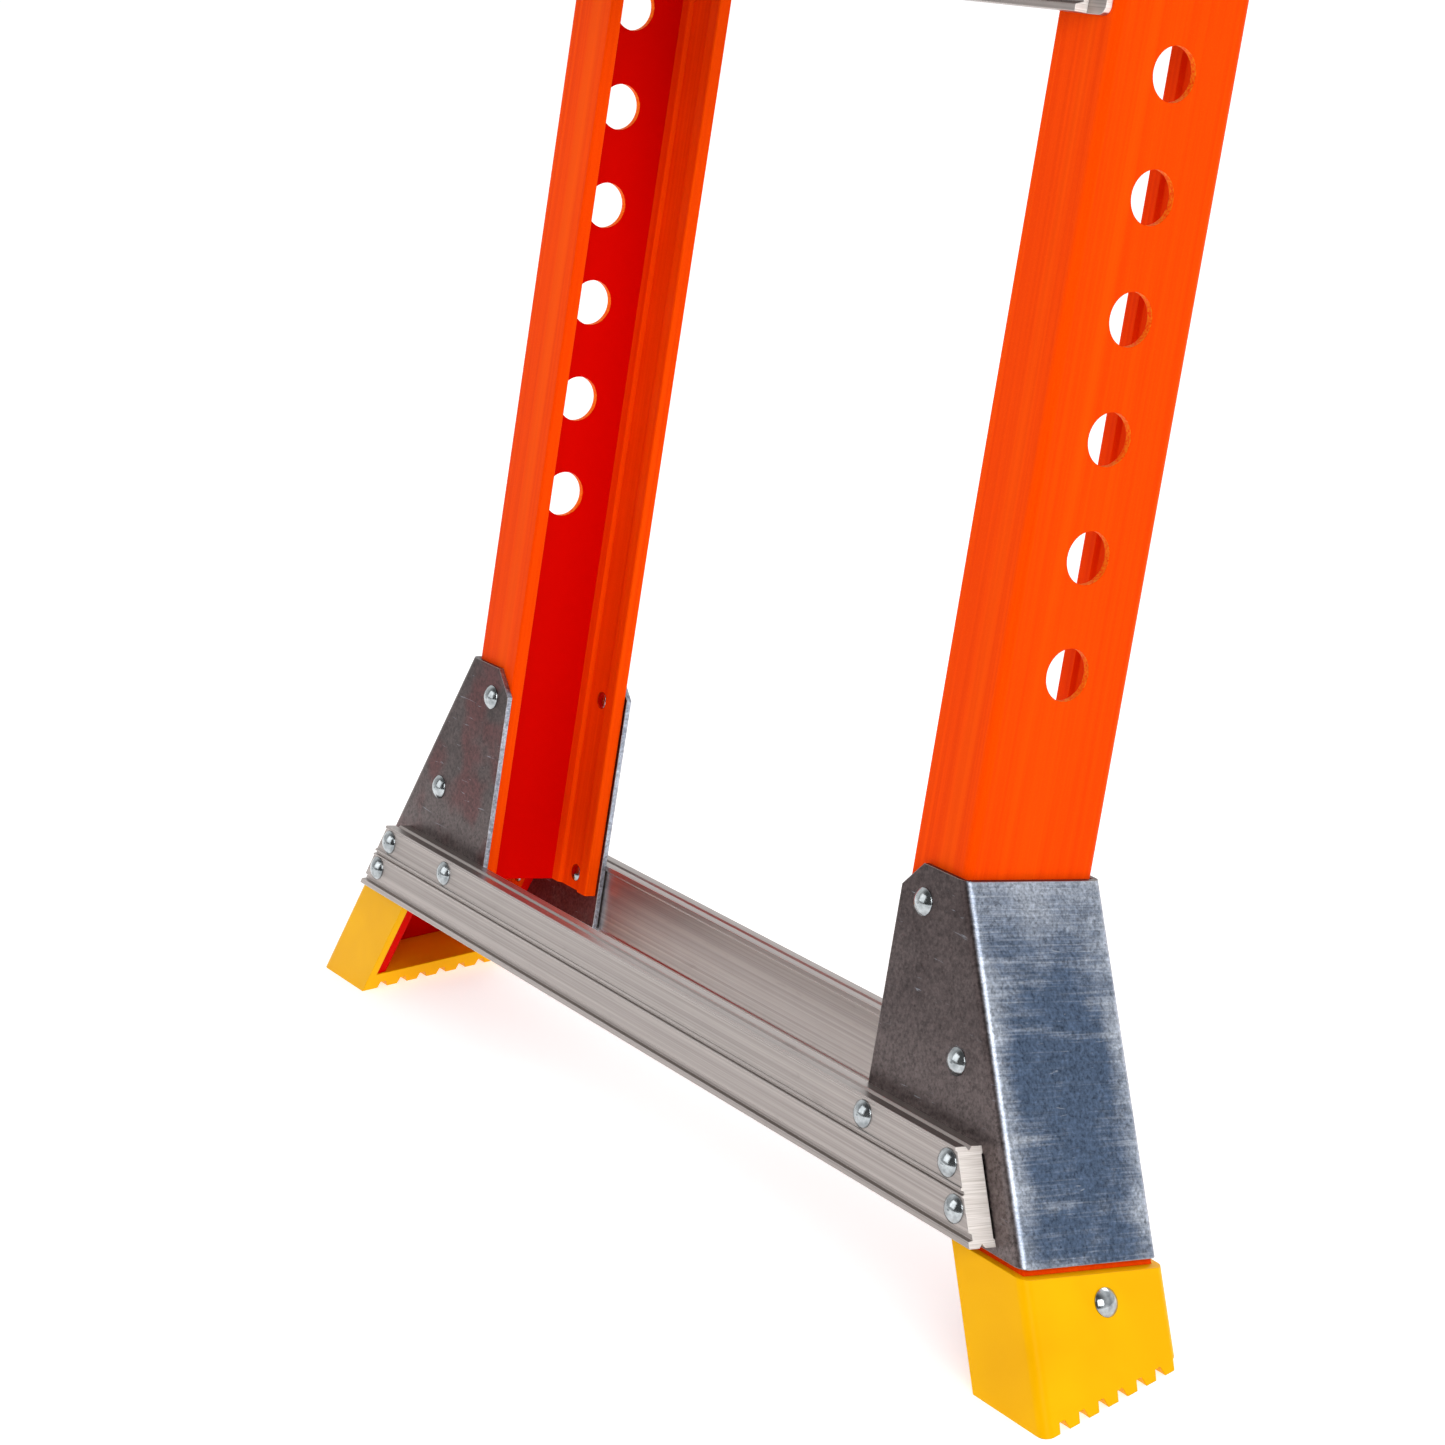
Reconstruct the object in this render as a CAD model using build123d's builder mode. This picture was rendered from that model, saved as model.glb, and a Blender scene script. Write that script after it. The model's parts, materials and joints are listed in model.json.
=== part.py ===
from build123d import *
import os
from math import asin, cos, radians, sin, tan

# A two-section extension ladder that leans at its working angle.
# Everything is drawn in the ladder's own directions and tilted onto the floor at the end:
# X is the width, Y the depth of the rails (front face at 0), Z runs up the rails, 0 at the lowest pin hole.

# ---- Driving dimensions, mm and degrees ----
LEAN = 14.5             # rails lean back from upright: 75.5 degrees from the floor

BASE_WIDTH = 415.0      # over the outside of the base rails
RAIL_DEPTH = 70.0
RAIL_FLANGE = 37.0      # flange width, outside of the web to the flange tip
RAIL_WEB = 3.2
FLANGE_THICK = 5.2      # flange between its lip and its root
LIP_THICK = 7.0         # flange at its tip and at the root by the web
LIP_WIDTH = 8.0
LIP_EDGE = 1.0          # rounding of the flange tip
ROOT_WIDTH = 6.0
RAIL_CORNER = 4.0
RAIL_TAIL = 208.0       # the base rail runs on this far below the lowest pin hole
BASE_HEADROOM = 88.0    # base rail above its last tread

PIN_HOLE_D = 23.0
PIN_HOLE_PITCH = 50.0
PIN_HOLE_COUNT = 25

FLARE = 28.0            # feet spread outwards, from the rail's direction
SHEET = 2.7             # galvanised bracket
SHEET_BEND = 5.0        # outside bend radius
BRACKET_TOP = 89.0      # below the lowest pin hole
BRACKET_BOTTOM = 231.5
GUSSET_CLIP = 12.5      # cut-off corner at the top of the gusset
GUSSET_FOOT_R = 9.0
GUSSET_OVERHANG = 1.5   # gusset edge beyond the flange tip
STUB_TOP_LAND = 5.0     # width of the flare stub where it starts beside the rail

BAR_THICK = 14.0
BAR_HEIGHT = 37.0
BAR_BOTTOM = 228.0      # below the lowest pin hole
BAR_SETBACK = 16.0      # front bar's ends, inside the bracket's outer face
BAR_BACK_SETBACK = 28.0     # the back bar is shorter
BAR_NOTCH = 1.6         # V lines along the middle of its edges
BAR_RELIEF = 0.8        # its faces, behind the lips that frame them
BAR_GROOVE = 19.9       # middle of the front groove above the lower edge

SHOE_WALL = 4.0
SHOE_PROUD = 1.3        # shoe outside the bracket's outer face
SHOE_TOP_GAP = 3.0      # orange strip between bracket and shoe
SHOE_CORNER = 5.0
SHOE_OPEN_LIP = 1.0     # shoe beyond the flange tips
SHOE_RIVET_DROP = 10.5  # below the shoe's top edge
SHOE_RIVET_BACK = 3.5   # behind the middle of the rail
SOLE_THICK = 10.0
SOLE_DROP = 281.0       # lowest pin hole above the floor, measured along the front face's upright
TREAD_GROOVE_PITCH = 11.4
TREAD_GROOVE_DEPTH = 3.7
TREAD_GROOVE_WIDTH = 5.6

RIVET_HEAD_D = 12.4
RIVET_HEAD_H = 3.2
RIVET_D = 6.4
RIVET_TAIL_D = 9.0
RIVET_TAIL_H = 1.5
LOW_TAIL_H = 0.8            # where the fly passes close by
RAIL_RIVET_INSET = 22.5     # rivets through the rail, inside its outer face
GUSSET_RIVET_HIGH = 105.0   # below the lowest pin hole
GUSSET_RIVET_LOW = 163.0
GUSSET_RIVET_INSET = 23.0   # inside the flared face
BAR_RIVET_HIGH = 28.8       # above the bar's lower edge
BAR_RIVET_LOW = 12.0
BAR_RIVET_END = 7.5         # middle of the end rivets, inside the bar's end

TREAD_FIRST = 268.0     # lower edge of the first tread above the lowest pin hole
TREAD_PITCH = 300.0
TREAD_COUNT = 7
TREAD_END_MARGIN = 15.5     # tread end to the outside of the rail
TREAD_PLATE = 2.6
TREAD_BOX_LOW = 20.0    # box section's underside above the lower edge
TREAD_BOX_HIGH = 22.0
TREAD_DEPTH = 50.0
TREAD_UPSTAND = 34.0
TREAD_WALL = 2.2
TREAD_BEAD = 6.5        # rounded lower edge of the tread's back plate
TREAD_BEAD_HEIGHT = 3.0
TREAD_NOSE_R = 5.0
TREAD_GRIP_PITCH = 5.0  # grooves along the top of a tread
TREAD_GRIP_WIDTH = 2.4
TREAD_GRIP_MARGIN = 8.0
TREAD_RIVET_LOW = 9.0   # above the tread's top
TREAD_RIVET_HIGH = 25.0
TAB_THICK = 3.0
TAB_MARGIN = 4.5        # end plate's edge to the outside of the rail
TAB_INSET = 1.0         # end plate inside the flange tip
TAB_CORNER = 4.0
GRIP_DEPTH = 0.8        # grooves in treads and rungs

FLY_SIDE_GAP = 2.3      # fly web to base web
FLY_FACE_GAP = 1.5      # fly flange to base flange lip
FLY_FLANGE = 30.0
FLY_FLANGE_THICK = 4.0
FLY_WEB = 3.0
FLY_CORNER = 3.0
FLY_TAIL = 105.0        # fly rail below its lock bolt
RUNG_COUNT = 8
RUNG_D = 32.0
RUNG_FLAT = 12.0        # flat top above the rung's centre
RUNG_WALL = 2.0
RUNG_GRIPS = 4
RUNG_GRIP_PITCH = 4.0
RUNG_GRIP_WIDTH = 2.0
COLLAR_WIDE = 40.0      # plate that holds a rung's end to the web
COLLAR_TALL = 62.0
COLLAR_CORNER = 8.0
COLLAR_PLATE = 4.0
COLLAR_BOSS = 12.0      # ring round the rung, from the web
COLLAR_WALL = 3.5
COLLAR_RIVET_RISE = 24.0
COLLAR_RIVET_D = 4.8
COLLAR_HEAD_D = 9.0
COLLAR_HEAD_H = 2.4
COLLAR_TAIL_D = 7.0
COLLAR_TAIL_H = 0.8

LOCK_HOLE = 9           # pin hole that the lock bolts sit in, counted from the lowest as 0
BOLT_CLEARANCE = 0.5    # lock bolt in a pin hole, on radius
BOLT_PROUD = 1.5        # lock bolt beyond the outside of the base rail
BOLT_STEM_D = 10.0
BOLT_COLLAR = 2.0
BOLT_EASE = 1.5         # chamfer on the bolt's nose
CHAMBER_GAP = 2.5       # spring chamber round the bolt, on radius
LOCK_BODY_DEPTH = 36.0
LOCK_BODY_Y = 42.0
LOCK_BODY_Z = 52.0
LOCK_COVER = 3.0
LOCK_CORNER = 6.0
LOCK_STEP = 11.0        # length of the close bore at the bolt's nose
LOCK_SCREW_INSET = 5.0
KNOB_D = 38.0
KNOB_THICK = 16.0
KNOB_GAP = 2.0
KNOB_FACE = 4.0         # knob left over the end of the bolt's stem
KNOB_SCALLOPS = 8
KNOB_SCALLOP_R = 5.0
KNOB_SCALLOP_OUT = 2.5  # scallop centres beyond the knob's rim
KNOB_EDGE = 1.5
SPRING_WIRE = 1.6
SPRING_TURNS = 6

GUIDE_WALL = 2.5
GUIDE_SKIRT = 25.0
GUIDE_LIP = 14.0
GUIDE_CORNER = 3.0
GUIDE_REACH = 2.0       # guide and glide beyond the flange tips
GUIDE_SCREW_DROP = 10.0     # below the rail's top
GUIDE_SCREW_OFFSET = 18.0   # from the middle of the rail's depth
GLIDE_LENGTH = 60.0
GLIDE_SOLE = 6.0
BOOT_WALL = 3.0
BOOT_SKIRT = 55.0
BOOT_TOP = 8.0
BOOT_PAD = 14.0         # thickest part of the pad that meets the wall
BOOT_PAD_START = 10.0   # above the boot's lower edge
BOOT_CORNER = 2.5
BOOT_GAP = 4.0          # boot above the top rung's collar

SCREW_D = 4.0
SCREW_HEAD_D = 8.0
SCREW_HEAD_H = 2.4

# ---- Clearances, mm ----
FIT = 0.05              # faces that touch
SHANK_GAP = 0.1         # rivet and screw shanks in their holes, on radius
SLIDE_GAP = 0.4         # plastic guides against the rail they slide on
BORE_GAP = 0.05         # lock bolt in its housing, on radius
FREE_GAP = 0.5          # pieces that pass without touching

THROUGH = 60.0          # how far a drill reaches beyond the rail's faces
TALL = 900.0            # more than the height of any foot piece

# ---- Places worked out from the sizes ----
flare_sin = sin(radians(FLARE))
flare_cos = cos(radians(FLARE))
flare_tan = tan(radians(FLARE))
level = tan(radians(LEAN))

rail_out = BASE_WIDTH / 2
rail_in = rail_out - RAIL_FLANGE
web_in = rail_out - RAIL_WEB
rail_mid = RAIL_DEPTH / 2
rail_foot = -RAIL_TAIL
bracket_top = -BRACKET_TOP
bracket_bottom = -BRACKET_BOTTOM
bar_bottom = -BAR_BOTTOM
pin_holes = [PIN_HOLE_PITCH * k for k in range(PIN_HOLE_COUNT)]
lock_z = PIN_HOLE_PITCH * LOCK_HOLE

tread_levels = [TREAD_FIRST + TREAD_PITCH * k for k in range(TREAD_COUNT)]
tread_high = TREAD_BOX_LOW + TREAD_BOX_HIGH
tread_end = rail_out - TREAD_END_MARGIN
base_top = tread_levels[-1] + tread_high + BASE_HEADROOM

fly_out = web_in - FLY_SIDE_GAP
fly_in = fly_out - FLY_FLANGE
fly_web_in = fly_out - FLY_WEB
fly_front = LIP_THICK + FLY_FACE_GAP
fly_back = RAIL_DEPTH - fly_front
fly_foot = lock_z - FLY_TAIL
# rung tops stand level with the tread tops at rest, starting with the second tread
rung_rise = tread_high + (rail_mid + TREAD_DEPTH / 2) * level - RUNG_FLAT
rung_levels = [TREAD_FIRST + TREAD_PITCH * (k + 1) + rung_rise for k in range(RUNG_COUNT)]
boot_low = rung_levels[-1] + COLLAR_TALL / 2 + BOOT_GAP
fly_top = boot_low + BOOT_SKIRT

bolt_d = PIN_HOLE_D - 2 * BOLT_CLEARANCE
lock_in = fly_web_in - FIT - LOCK_BODY_DEPTH
lock_step = fly_web_in - FIT - LOCK_STEP
chamber_d = bolt_d + 2 * CHAMBER_GAP
cover_face = lock_in - FIT - LOCK_COVER
knob_out = cover_face - KNOB_GAP
stem_end = knob_out - KNOB_THICK + KNOB_FACE
collar_x = lock_step - FIT - BOLT_COLLAR

section = Plane(origin=(0, 0, 0), x_dir=(0, 1, 0), z_dir=(1, 0, 0))
rivet_hole_r = RIVET_D / 2 + SHANK_GAP
screw_hole_r = SCREW_D / 2 + SHANK_GAP
collar_hole_r = COLLAR_RIVET_D / 2 + SHANK_GAP


def flare_x(z, inset=0.0):
    """Width at height z of a line parallel to the bracket's flared face, inset square to it."""
    top = rail_out + (SHEET + FIT) / flare_cos
    return top + (bracket_top - z) * flare_tan - inset / flare_cos


def floor_z(y, height=0.0):
    """Ladder height, at depth y, of the level plane that stands this high above the floor."""
    return (height - SOLE_DROP) / cos(radians(LEAN)) + y * level


# ---- Pieces are collected here, right-hand ones with a mirrored twin ----
pieces = []


def keep(part, label):
    part.label = label
    pieces.append(part)


def keep_pair(part, label):
    keep(mirror(part, about=Plane.YZ), label + "_left")
    keep(part, label + "_right")


# ---- Shared shapes ----
def level_solid(height, thick):
    """A wide slab whose underside is level, this high above the floor."""
    front, back = -3 * RAIL_DEPTH, 4 * RAIL_DEPTH
    with BuildPart() as slab:
        with BuildSketch(section):
            with BuildLine():
                Polyline(
                    (front, floor_z(front, height)),
                    (back, floor_z(back, height)),
                    (back, floor_z(back, height) + thick),
                    (front, floor_z(front, height) + thick),
                    close=True,
                )
            make_face()
        extrude(amount=BASE_WIDTH * 2, both=True)
    return slab.part


def channel_outline(x_in, x_out, y_low, y_high, web, flange, gap=0.0):
    """Corners of a plain C-section, open towards the ladder's centre, grown all round by gap."""
    return [
        (x_in - gap, y_low - gap),
        (x_out + gap, y_low - gap),
        (x_out + gap, y_high + gap),
        (x_in - gap, y_high + gap),
        (x_in - gap, y_high - flange - gap),
        (x_out - web - gap, y_high - flange - gap),
        (x_out - web - gap, y_low + flange + gap),
        (x_in - gap, y_low + flange + gap),
    ]


def crown(rim_r, rim_z, top_z):
    """Part of a sphere centred on the Z axis, from its rim to its crown."""
    rise = top_z - rim_z
    up = 1 if rise > 0 else -1
    radius = (rim_r**2 + rise**2) / (2 * abs(rise))
    half = asin(rim_r / radius) / 2
    halfway = (radius * sin(half), top_z - up * radius * (1 - cos(half)))
    return ThreePointArc((rim_r, rim_z), halfway, (0, top_z))


def dome(head_d, head_h, shank_d, grip, tail_d, tail_h):
    """A rivet on the Z axis: domed head above 0, shank down through the grip, formed end below."""
    head, shank, tail = head_d / 2, shank_d / 2, tail_d / 2
    edge = head_h * 0.12
    with BuildPart() as one:
        with BuildSketch(Plane.XZ):
            with BuildLine():
                crown(head, edge, head_h)
                Line((head, edge), (head, 0))
                Line((head, 0), (shank, 0))
                Line((shank, 0), (shank, -grip))
                Line((shank, -grip), (tail, -grip))
                crown(tail, -grip, -grip - tail_h)
                Line((0, -grip - tail_h), (0, head_h))
            make_face()
        revolve(axis=Axis.Z)
    return one.part


def rivet(grip, tail_h=RIVET_TAIL_H):
    return dome(RIVET_HEAD_D, RIVET_HEAD_H, RIVET_D, grip, RIVET_TAIL_D, tail_h)


def screw(length):
    return dome(SCREW_HEAD_D, SCREW_HEAD_H, SCREW_D, length, SCREW_D * 0.8, 0.4)


def group(part, spots):
    """Copies of one fastener, its Z axis turned to each spot's plane."""
    with BuildPart() as together:
        for spot in spots:
            with Locations(spot.location):
                add(part)
    return together.part


def facing_front(x, y, z):
    return Plane(origin=(x, y, z), x_dir=(1, 0, 0), z_dir=(0, -1, 0))


def facing_back(x, y, z):
    return Plane(origin=(x, y, z), x_dir=(1, 0, 0), z_dir=(0, 1, 0))


def facing_out(x, y, z):
    return Plane(origin=(x, y, z), x_dir=(0, 1, 0), z_dir=(1, 0, 0))


def facing_in(x, y, z):
    return Plane(origin=(x, y, z), x_dir=(0, 1, 0), z_dir=(-1, 0, 0))


def both_sides(points):
    return [(side * x, z) for side in (-1, 1) for x, z in points]


# ---- Rivet places on the foot joints, (x, z) on the right-hand side ----
rail_rivet_x = rail_out - RAIL_RIVET_INSET
gusset_upper = -GUSSET_RIVET_HIGH
gusset_lower = -GUSSET_RIVET_LOW
bar_upper = bar_bottom + BAR_RIVET_HIGH
bar_lower = bar_bottom + BAR_RIVET_LOW
gusset_rivets = [
    (rail_rivet_x, gusset_upper),
    (flare_x(gusset_lower, GUSSET_RIVET_INSET), gusset_lower),
]


def bar_rivet_spots(setback):
    inset = setback * flare_cos + BAR_RIVET_END
    return [
        (rail_rivet_x, bar_upper),
        (flare_x(bar_upper, inset), bar_upper),
        (flare_x(bar_lower, inset), bar_lower),
    ]


front_bar_rivets = bar_rivet_spots(BAR_SETBACK)
back_bar_rivets = bar_rivet_spots(BAR_BACK_SETBACK)
front_foot_rivets = gusset_rivets + front_bar_rivets
back_foot_rivets = gusset_rivets + back_bar_rivets

# ---- Fastener places higher up ----
tread_rivets = [
    (rail_rivet_x, z + tread_high + rise)
    for z in tread_levels
    for rise in (TREAD_RIVET_LOW, TREAD_RIVET_HIGH)
]
guide_screw_z = base_top - GUIDE_SCREW_DROP
guide_screw_spots = [
    (rail_mid - GUIDE_SCREW_OFFSET, guide_screw_z),
    (rail_mid + GUIDE_SCREW_OFFSET, guide_screw_z),
]
rung_spots = [(rail_mid, z) for z in rung_levels]
collar_rivet_spots = [
    (rail_mid, z + rise) for z in rung_levels for rise in (-COLLAR_RIVET_RISE, COLLAR_RIVET_RISE)
]
lock_screw_spots = [
    (rail_mid + sy * (LOCK_BODY_Y / 2 - LOCK_SCREW_INSET), lock_z + sz * (LOCK_BODY_Z / 2 - LOCK_SCREW_INSET))
    for sy in (-1, 1)
    for sz in (-1, 1)
]


# ---- Base section ----
def base_rail():
    root = web_in - ROOT_WIDTH
    lip = rail_in + LIP_WIDTH
    ease = LIP_THICK - FLANGE_THICK
    far = RAIL_DEPTH
    with BuildPart() as rail:
        with BuildSketch(Plane.XY.offset(rail_foot)) as outline:
            with BuildLine():
                Polyline(
                    (rail_in, 0),
                    (rail_out, 0),
                    (rail_out, far),
                    (rail_in, far),
                    (rail_in, far - LIP_THICK),
                    (lip, far - LIP_THICK),
                    (lip + ease, far - FLANGE_THICK),
                    (root - ease, far - FLANGE_THICK),
                    (root, far - LIP_THICK),
                    (web_in, far - LIP_THICK),
                    (web_in, LIP_THICK),
                    (root, LIP_THICK),
                    (root - ease, FLANGE_THICK),
                    (lip + ease, FLANGE_THICK),
                    (lip, LIP_THICK),
                    (rail_in, LIP_THICK),
                    close=True,
                )
            make_face()
            columns = outline.vertices().group_by(Axis.X)
            fillet(columns[-1], RAIL_CORNER)
            columns = outline.vertices().group_by(Axis.X)
            fillet(columns[0], LIP_EDGE)
        extrude(amount=base_top - rail_foot)
        with BuildSketch(section):
            with Locations(*[(rail_mid, z) for z in pin_holes]):
                Circle(PIN_HOLE_D / 2)
            with Locations(*guide_screw_spots):
                Circle(screw_hole_r)
        extrude(amount=rail_out + 1, mode=Mode.SUBTRACT)
        with BuildSketch(Plane.XZ):
            with Locations(*(tread_rivets + [p for p in front_foot_rivets if p[0] < rail_out])):
                Circle(rivet_hole_r)
        extrude(amount=-rail_mid, mode=Mode.SUBTRACT)
        with BuildSketch(Plane.XZ.offset(-rail_mid)):
            with Locations(*[p for p in back_foot_rivets if p[0] < rail_out]):
                Circle(rivet_hole_r)
        extrude(amount=-rail_mid, mode=Mode.SUBTRACT)
    return rail.part


def flare_stub():
    outer = SHEET + FIT
    inner = outer + RAIL_FLANGE
    side = rail_out + FREE_GAP
    top = bracket_top - (STUB_TOP_LAND + FREE_GAP + FIT) / flare_tan
    low = floor_z(0, 0)
    meet = bracket_top - (side - flare_x(bracket_top, inner)) / flare_tan
    with BuildPart() as stub:
        with BuildSketch(Plane.XZ):
            with BuildLine():
                Polyline(
                    (side, top),
                    (flare_x(top, outer), top),
                    (flare_x(low, outer), low),
                    (flare_x(low, inner), low),
                    (side, meet),
                    close=True,
                )
            make_face()
        extrude(amount=-RAIL_DEPTH)
        with BuildSketch(Plane.XZ.offset(-FLANGE_THICK)):
            with BuildLine():
                Polyline(
                    (flare_x(top + THROUGH, outer + RAIL_WEB), top + THROUGH),
                    (flare_x(low, outer + RAIL_WEB), low),
                    (0, low),
                    (0, top + THROUGH),
                    close=True,
                )
            make_face()
        extrude(amount=-(RAIL_DEPTH - 2 * FLANGE_THICK), mode=Mode.SUBTRACT)
        for start, spots in ((THROUGH, front_foot_rivets), (-rail_mid, back_foot_rivets)):
            with BuildSketch(Plane.XZ.offset(start)):
                with Locations(*[p for p in spots if p[0] > rail_out]):
                    Circle(rivet_hole_r)
            extrude(amount=-(rail_mid + THROUGH), mode=Mode.SUBTRACT)
        add(shoe_rivet_drill(), mode=Mode.SUBTRACT)
        add(level_solid(SOLE_THICK, TALL), mode=Mode.INTERSECT)
    return stub.part


def flare_bracket():
    inner_edge = rail_in - GUSSET_OVERHANG
    slit = flare_x(bracket_bottom)
    with BuildPart() as bracket:
        with BuildSketch(Plane.XZ.offset(SHEET + FIT)) as front:
            with BuildLine():
                Polyline(
                    (inner_edge + GUSSET_CLIP, bracket_top),
                    (flare_x(bracket_top), bracket_top),
                    (slit, bracket_bottom),
                    (inner_edge, bracket_bottom),
                    (inner_edge, bracket_top - GUSSET_CLIP),
                    close=True,
                )
            make_face()
            fillet(front.vertices().group_by(Axis.Y)[0].sort_by(Axis.X)[0], GUSSET_FOOT_R)
        extrude(amount=-(RAIL_DEPTH + 2 * (SHEET + FIT)))
        bends = bracket.faces().filter_by(
            lambda f: abs(f.normal_at().X - flare_cos) < 1e-3 and f.normal_at().Z > 0.1
        )[0]
        fillet(bends.edges().filter_by(lambda e: abs(e.tangent_at(0.5).Z) > 0.5), SHEET_BEND)
        with BuildSketch(Plane.XZ.offset(FIT)):
            with BuildLine():
                Polyline(
                    (flare_x(bracket_top + THROUGH, SHEET), bracket_top + THROUGH),
                    (flare_x(bracket_bottom - THROUGH, SHEET), bracket_bottom - THROUGH),
                    (0, bracket_bottom - THROUGH),
                    (0, bracket_top + THROUGH),
                    close=True,
                )
            make_face()
        extrude(amount=-(RAIL_DEPTH + 2 * FIT), mode=Mode.SUBTRACT)
        for start, spots in ((THROUGH, front_foot_rivets), (-rail_mid, back_foot_rivets)):
            with BuildSketch(Plane.XZ.offset(start)):
                with Locations(*spots):
                    Circle(rivet_hole_r)
            extrude(amount=-(rail_mid + THROUGH), mode=Mode.SUBTRACT)
    return bracket.part


def base_bar(setback, rivets, at_back):
    """Extruded bar; outline points are (out from the bracket, up from the bar's lower edge)."""
    t, h, notch, mid = BAR_THICK, BAR_HEIGHT, BAR_NOTCH, BAR_GROOVE
    half = t / 2
    face = t - BAR_RELIEF
    profile = [
        (0, 0), (0, 2.6), (0.7, 3.2), (0.7, h - 3.2), (0, h - 2.6), (0, h),
        (half - notch, h), (half, h - notch), (half + notch, h), (t, h),
        (t, h - 1.4), (face, h - 1.8), (face, mid + 2.5), (t, mid + 2.1), (t, mid + 1.3),
        (t - 1.4, mid + 0.9), (t - 1.4, mid - 0.3), (t, mid - 0.7), (t, mid - 1.3),
        (face, mid - 1.7), (face, 5.8), (t - 2.4, 5.2), (t - 2.4, 3.0), (t, 2.6), (t, 0),
        (half + notch, 0), (half, notch), (half - notch, 0),
    ]
    seat = SHEET + 2 * FIT
    outline = [
        (RAIL_DEPTH + seat + out if at_back else -seat - out, bar_bottom + up)
        for out, up in profile
    ]
    with BuildPart() as bar:
        with BuildSketch(section):
            with BuildLine():
                Polyline(*outline, close=True)
            make_face()
        extrude(amount=flare_x(bar_bottom), both=True)
        for side in (-1, 1):
            end = Plane(
                origin=(side * flare_x(bar_bottom, setback * flare_cos), 0, bar_bottom),
                z_dir=(side * flare_cos, 0, flare_sin),
            )
            split(bisect_by=end, keep=Keep.BOTTOM)
        with BuildSketch(Plane.XZ.offset(THROUGH)):
            with Locations(*both_sides(rivets)):
                Circle(rivet_hole_r)
        extrude(amount=-(RAIL_DEPTH + 2 * THROUGH), mode=Mode.SUBTRACT)
    return bar.part


def shoe_rivet_plane():
    """On the shoe's outer face, square to it."""
    z = bracket_bottom - SHOE_TOP_GAP - SHOE_RIVET_DROP
    middle = (flare_x(z, -SHOE_PROUD), rail_mid + SHOE_RIVET_BACK, z)
    return Plane(origin=middle, x_dir=(0, 1, 0), z_dir=(flare_cos, 0, flare_sin))


def shoe_rivet_drill():
    with BuildPart() as drill:
        with BuildSketch(shoe_rivet_plane()):
            Circle(rivet_hole_r)
        extrude(amount=20, both=True)
    return drill.part


def shoe():
    top = bracket_bottom - SHOE_TOP_GAP
    low = floor_z(-SHOE_WALL - FIT, 0)
    open_edge = SHEET + FIT + RAIL_FLANGE + SHOE_OPEN_LIP
    with BuildPart() as hollow:
        with BuildSketch(Plane.XZ.offset(FIT)):
            with BuildLine():
                Polyline(
                    (flare_x(top + THROUGH, SHEET), top + THROUGH),
                    (flare_x(low, SHEET), low),
                    (0, low),
                    (0, top + THROUGH),
                    close=True,
                )
            make_face()
        extrude(amount=-(RAIL_DEPTH + 2 * FIT))
        add(level_solid(SOLE_THICK - FIT, TALL), mode=Mode.INTERSECT)
    with BuildPart() as boot:
        with BuildSketch(Plane.XZ.offset(SHOE_WALL + FIT)):
            with BuildLine():
                Polyline(
                    (flare_x(top, open_edge), top),
                    (flare_x(top, -SHOE_PROUD), top),
                    (flare_x(low, -SHOE_PROUD), low),
                    (flare_x(low, open_edge), low),
                    close=True,
                )
            make_face()
        extrude(amount=-(RAIL_DEPTH + 2 * (SHOE_WALL + FIT)))
        wall = boot.faces().filter_by(
            lambda f: abs(f.normal_at().X - flare_cos) < 1e-3 and f.normal_at().Z > 0.1
        )[0]
        fillet(wall.edges().filter_by(lambda e: abs(e.tangent_at(0.5).Z) > 0.5), SHOE_CORNER)
        add(level_solid(0, TALL), mode=Mode.INTERSECT)
        add(hollow.part, mode=Mode.SUBTRACT)
        add(shoe_rivet_drill(), mode=Mode.SUBTRACT)
        sole_length = (RAIL_DEPTH + 2 * SHOE_WALL) / cos(radians(LEAN))
        grooves = int(sole_length / TREAD_GROOVE_PITCH)
        start = Plane(
            origin=(0, -SHOE_WALL, floor_z(-SHOE_WALL, 0)),
            x_dir=(0, cos(radians(LEAN)), sin(radians(LEAN))),
            z_dir=(1, 0, 0),
        )
        half = TREAD_GROOVE_WIDTH / 2
        with BuildSketch(start) as teeth:
            with Locations(*[(TREAD_GROOVE_PITCH * (k + 1), 0) for k in range(grooves)]):
                with BuildLine(mode=Mode.PRIVATE) as notch:
                    Polyline(
                        (-half, -1), (-half, 0), (-half * 0.55, TREAD_GROOVE_DEPTH),
                        (half * 0.55, TREAD_GROOVE_DEPTH), (half, 0), (half, -1), close=True,
                    )
                add(make_face(notch.line, mode=Mode.PRIVATE))
        extrude(amount=BASE_WIDTH, mode=Mode.SUBTRACT)
    return boot.part


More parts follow.
